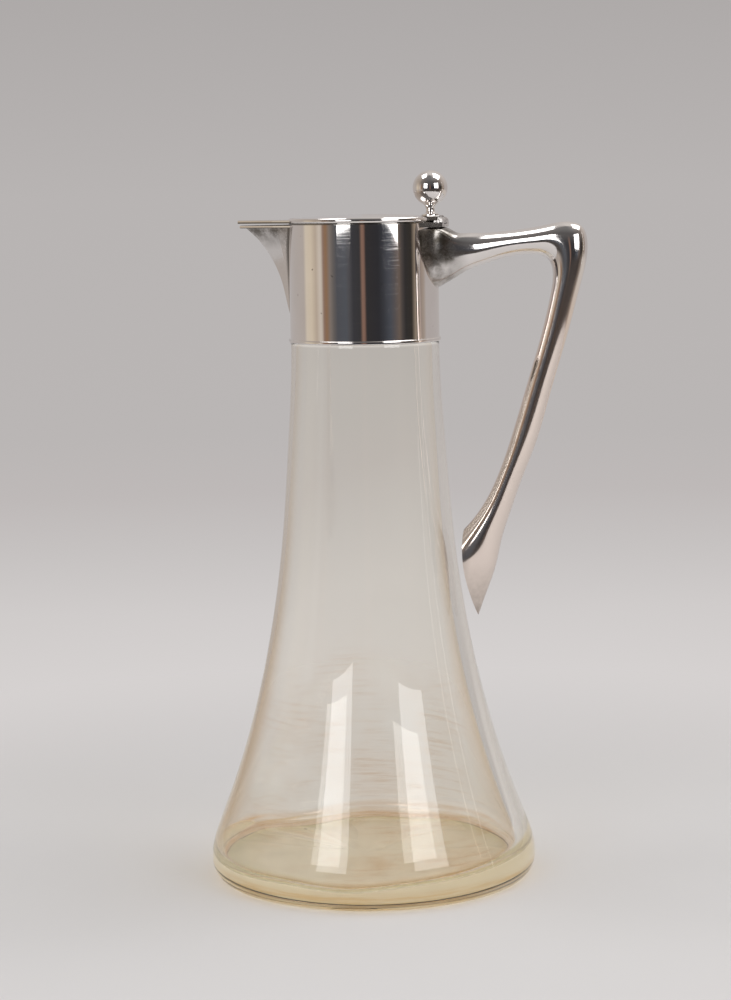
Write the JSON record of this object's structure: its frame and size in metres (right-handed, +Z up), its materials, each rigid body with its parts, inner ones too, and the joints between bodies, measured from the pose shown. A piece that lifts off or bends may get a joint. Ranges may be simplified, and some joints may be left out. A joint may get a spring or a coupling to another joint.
{
  "type": "claret jug",
  "caption": "Flared glass claret jug with a plated collar, V spout, hinged lid with ball thumbpiece and an angular handle whose tip hangs free of the glass.",
  "frame": {"origin": "middle of the foot, on the surface the jug stands on", "axes": "+Z up, +X towards the handle, -X towards the spout, the lid's hinge pin along Y"},
  "size_m": [0.1759, 0.149, 0.3202],
  "materials": {
    "blown_glass": "clear blown glass, faintly straw-coloured where thick",
    "plaster_cement": "dull off-white cement",
    "silver_plate": "polished silver plate with fine wear"
  },
  "bodies": {
    "jug": {"glass_body": "blown_glass", "neck_cement": "plaster_cement", "neck_liner": "silver_plate", "collar_band": "silver_plate", "collar_foot_wire": "silver_plate", "spout_body": "silver_plate", "spout_lip_wire": "silver_plate", "handle": "silver_plate", "hinge_base": "silver_plate", "hinge_pin": "silver_plate"},
    "lid": {"lid_cover": "silver_plate", "lid_rim_wire": "silver_plate", "lid_locating_flange": "silver_plate", "lid_spout_cover": "silver_plate", "lid_hinge_leaf": "silver_plate", "thumb_foot": "silver_plate", "thumb_ball": "silver_plate"}
  },
  "joints": [
    {"name": "lid_hinge", "type": "hinge", "parent": "jug", "child": "lid", "pos_m": [0.03585, 0, 0.29757], "axis": [0, 1, 0], "range_deg": [0, 95]}
  ]
}
